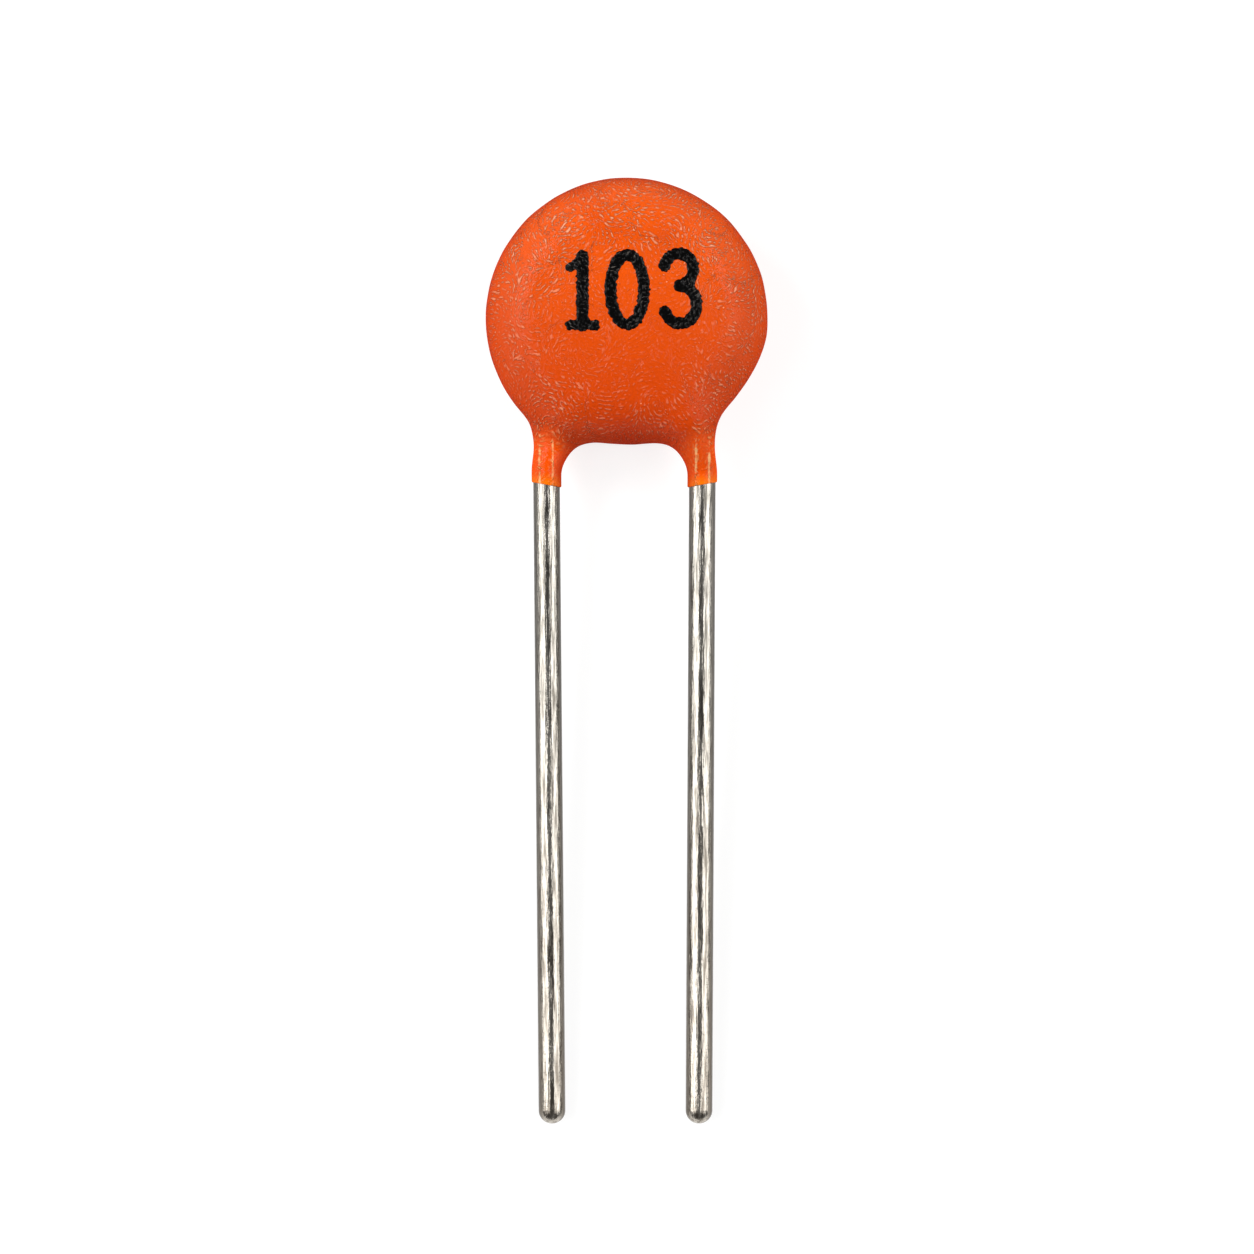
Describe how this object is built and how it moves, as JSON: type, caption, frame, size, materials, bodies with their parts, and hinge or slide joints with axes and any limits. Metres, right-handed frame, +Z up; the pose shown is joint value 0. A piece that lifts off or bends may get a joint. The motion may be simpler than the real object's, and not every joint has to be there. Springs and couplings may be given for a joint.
{
  "type": "ceramic disc capacitor",
  "caption": "Small round capacitor dipped in orange resin, with two straight parallel wire leads for through-hole mounting, lying on its back.",
  "frame": {"origin": "on the surface the part lies on, under the middle of its bounding box", "axes": "+Z up, the way the marked face looks; +Y from the lead tips towards the top of the disc; +X to the right as the marking is read"},
  "size_m": [0.0048, 0.0158, 0.0021],
  "materials": {
    "orange_dip_resin": "dipped and cured resin, glossy, with a fine skin of ripples",
    "tinned_wire": "hot-tinned copper-clad steel, bright with dull streaks",
    "marking_ink": "stamped black ink",
    "fired_ceramic": "fired barium titanate, matt, tan",
    "fired_silver": "silver paste fired on, matt",
    "solder": "dull grey solder"
  },
  "bodies": {
    "root": {"coating": "orange_dip_resin", "front_lead": "tinned_wire", "back_lead": "tinned_wire", "value_marking": "marking_ink", "ceramic_disc": "fired_ceramic", "front_electrode": "fired_silver", "back_electrode": "fired_silver", "front_solder": "solder", "back_solder": "solder"}
  },
  "joints": []
}
